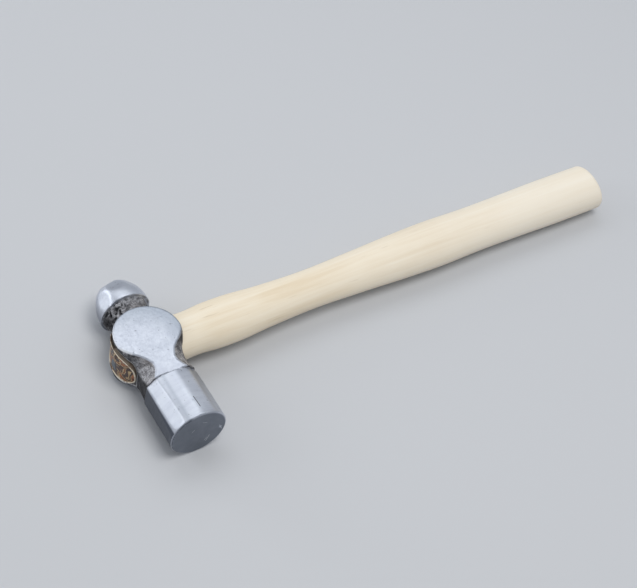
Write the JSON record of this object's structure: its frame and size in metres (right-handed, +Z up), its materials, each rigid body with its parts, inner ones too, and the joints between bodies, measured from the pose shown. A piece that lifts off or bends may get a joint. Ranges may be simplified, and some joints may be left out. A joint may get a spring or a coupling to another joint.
{
  "type": "ball peen hammer",
  "caption": "Metalworking hammer: forged steel head with a round striking face and a ball peen, wedged and sealed on an oval wooden handle.",
  "frame": {"origin": "middle of the bottom of the bounding box, with the hammer lying on its side", "axes": "+X along the handle from the head to the butt, +Y from the striking face towards the ball peen, +Z up, square to the flat cheeks"},
  "size_m": [0.3186, 0.1064, 0.032],
  "materials": {
    "head_steel": "ground satin on the face, poll, cheeks and peen, dark pitted forging scale on the two necks and round the eye",
    "handle_wood": "pale straight-grained hardwood, sanded and lightly oiled",
    "wedge_wood": "hardwood end grain stained by the resin",
    "wedge_steel": "dull grey stamped steel",
    "seal_resin": "glossy uneven brown resin with cream streaks"
  },
  "bodies": {
    "root": {"head": "head_steel", "handle": "handle_wood", "kerf_wedge": "wedge_wood", "cross_wedge": "wedge_steel", "eye_seal": "seal_resin"}
  },
  "joints": []
}
